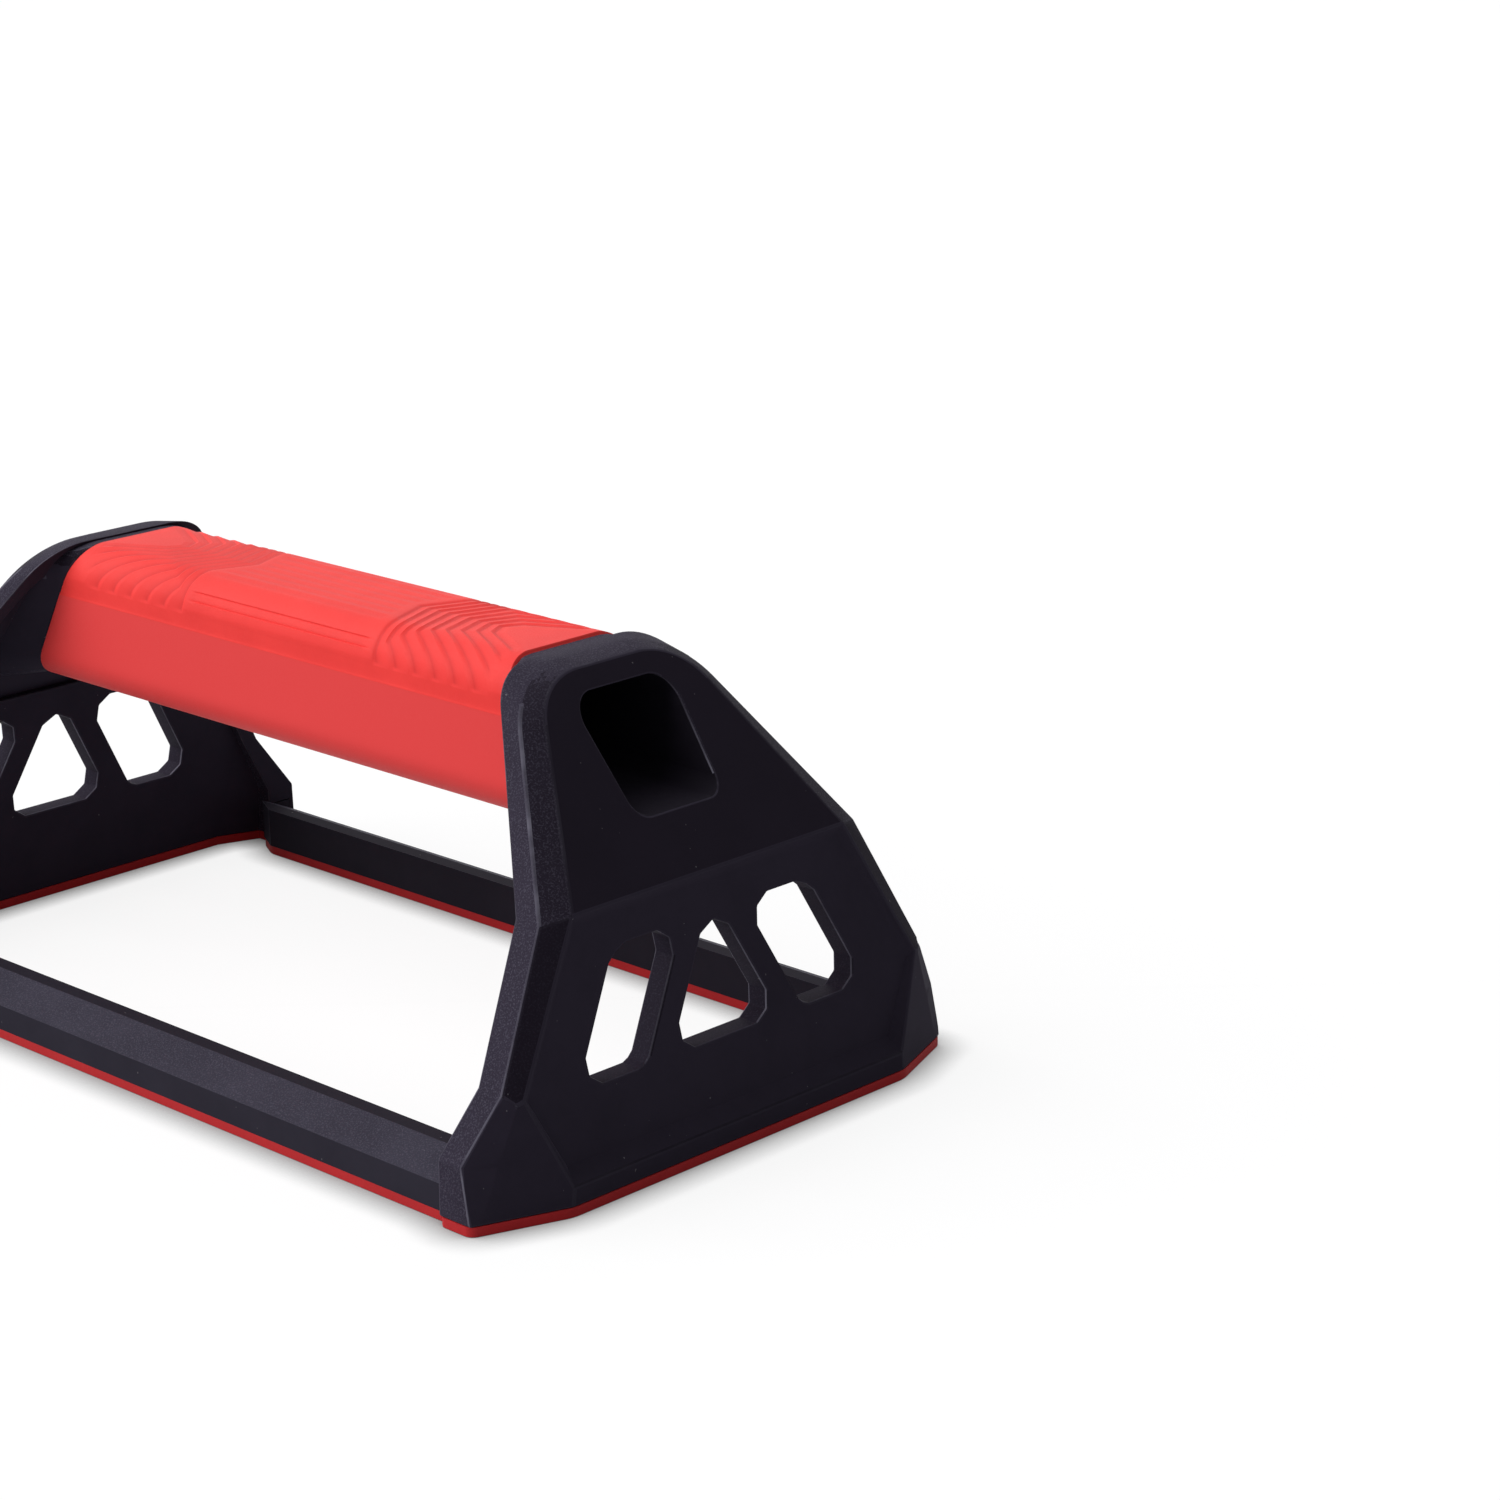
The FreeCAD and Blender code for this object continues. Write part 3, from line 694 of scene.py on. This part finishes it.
def rounded_copy(node, material, radius, tone, span):
    """Copy of a node's shape with its sharp outer edges rounded and the tone of its faces marked."""
    bm = clean_copy(node)
    pale = bm.faces.layers.float.new("tone")
    grained = bm.faces.layers.float.new("grain")
    rounded = bm.faces.layers.float.new("edge")
    edges = [edge for edge in outer_edges(bm) if in_span(edge, span)]
    for face in round_edges(bm, edges, radius, EDGE_STEPS):
        face.normal_update()
        face[rounded] = edge_wear_and_highlight(face)
    bm.normal_update()
    for face in bm.faces:
        face[pale], face[grained] = tone(face)
    return finish_mesh(bm, node + "_rounded", material, PIECE_SHARP)


def frame_copy(node, material, bore):
    """Copy of an end frame with the dull walls of its hole, painted darker as shade."""
    piece = rounded_copy(node, material, FRAME_EDGE_R, frame_tone, FRAME_SPAN)
    piece.data.materials.append(bore)
    bm = bmesh.new()
    bm.from_mesh(piece.data)
    bm.normal_update()
    for face in bm.faces:
        if in_bore(face):
            face.material_index = 1
    bm.to_mesh(piece.data)
    bm.free()
    return piece


def sole_copy(node, material):
    """Copy of a sole with rounded corners and soft edges."""
    bm = clean_copy(node)
    upright = []
    for edge in outer_edges(bm):
        line = edge.verts[0].co - edge.verts[1].co
        if abs(line.z) > 0.99 * line.length and min(v.co.z for v in edge.verts) < WELD:
            upright.append(edge)
    round_edges(bm, upright, SOLE_CORNER_R, CORNER_STEPS)
    low = [edge for edge in outer_edges(bm) if max(v.co.z for v in edge.verts) < WELD]
    round_edges(bm, low, SOLE_EDGE_R, EDGE_STEPS)
    return finish_mesh(bm, node + "_rounded", material, PIECE_SHARP)


def settle(piece, slot, *nodes):
    """Let a piece ride on the body and stand for its nodes."""
    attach(piece, "root")
    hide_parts(*nodes)


def paint_node(name, material):
    """Give a node that stays as it is its material."""
    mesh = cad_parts[name].data
    mesh.materials.clear()
    mesh.materials.append(material)


def seen_rays(tree):
    """One for rays that show the background itself: straight, mirrored or through glass."""
    path = tree.nodes.new("ShaderNodeLightPath")
    share = path.outputs["Is Camera Ray"]
    for kind in ("Is Glossy Ray", "Is Transmission Ray"):
        either = tree.nodes.new("ShaderNodeMath")
        either.operation = "MAXIMUM"
        tree.links.new(share, either.inputs[0])
        tree.links.new(path.outputs[kind], either.inputs[1])
        share = either.outputs[0]
    return share


def add_floor():
    """Pale floor that keeps the lamps' shadow, shows white to the camera and has a painted contact shadow
    at the soles.
    """
    mesh = bpy.data.meshes.new("floor")
    half = FLOOR_HALF
    corners = [(-half, -half, 0), (half, -half, 0), (half, half, 0), (-half, half, 0)]
    mesh.from_pydata(corners, [], [(0, 1, 2, 3)])
    floor = bpy.data.objects.new("floor", mesh)
    bpy.context.scene.collection.objects.link(floor)
    paint = Paint("floor_white")
    seen = seen_rays(paint.tree)
    clouds = paint.noise(FLOOR_CLOUDS, 2)
    pale = paint.mix(clouds, linear(FLOOR_DARK), linear(FLOOR_PALE))
    # Painted contact shadow: the floor's white glow dims by ambient occlusion near the soles and rails
    near = {"Distance": CONTACT}
    clear = paint.add("ShaderNodeAmbientOcclusion", near, "AO", samples=CONTACT_SAMPLES)
    clear = paint.math("MULTIPLY", seen, paint.math("POWER", clear, CONTACT_POWER))
    paint.put(paint.shader, {
        "Base Color": paint.mix(seen, pale, linear(FLOOR_SEEN)),
        "Roughness": 0.9,
        "Specular IOR Level": 0.0,
        "Emission Color": WHITE,
        "Emission Strength": paint.math("MULTIPLY", clear, FLOOR_GLOW),
    })
    mesh.materials.append(paint.material)


def add_world():
    """Even pale surroundings, white to the camera."""
    world = bpy.data.worlds.new("studio")
    bpy.context.scene.world = world
    world.use_nodes = True
    tree = world.node_tree
    back = tree.nodes["Background"]
    level = tree.nodes.new("ShaderNodeMapRange")
    level.inputs[3].default_value = FILL
    level.inputs[4].default_value = 1.0
    tree.links.new(seen_rays(tree), level.inputs["Value"])
    tree.links.new(level.outputs[0], back.inputs["Strength"])
    back.inputs["Color"].default_value = WHITE


bpy.context.scene.view_settings.view_transform = "Standard"
add_camera()
add_world()
add_lamp("key", KEY_FROM, KEY_ANGLE, KEY_STRENGTH)
add_lamp("back", BACK_FROM, BACK_ANGLE, BACK_STRENGTH)
add_floor()

frame_black = black_plastic("frame_black", FRAME_SMOOTH_AND_SHADED, FRAME_GRAINED_AND_LIT)
rail_black = black_plastic("rail_black", RAIL_SMOOTH_AND_SHADED, RAIL_GRAINED_AND_LIT)
core_black = black_plastic("core_black", CORE_SMOOTH, CORE_GRAINED)
grip_red = red_rubber("grip_red", GRIP_RED, GRIP_DEEP, GRIP_DULL, GRIP_ROUGH)
sole_red = red_rubber("sole_red", SOLE_RED, SOLE_DEEP, SOLE_RED, SOLE_ROUGH)
bore_shade = bore_shade_black()
screw_zinc = zinc()

settle(grip_sleeve(grip_red), "grip_rubber", "grip_sleeve")
for side in ("left", "right"):
    node = side + "_end_frame"
    settle(frame_copy(node, frame_black, bore_shade), "frame_plastic", node)
    node = side + "_end_sole"
    settle(sole_copy(node, sole_red), "sole_rubber", node)
for side in ("front", "rear"):
    node = side + "_base_rail"
    piece = rounded_copy(node, rail_black, RAIL_EDGE_R, rail_tone, RAIL_SPAN)
    settle(piece, "rail_plastic", node)
    node = side + "_rail_sole"
    settle(sole_copy(node, sole_red), "sole_rubber", node)
paint_node("grip_core", core_black)
paint_node("rail_screws", screw_zinc)
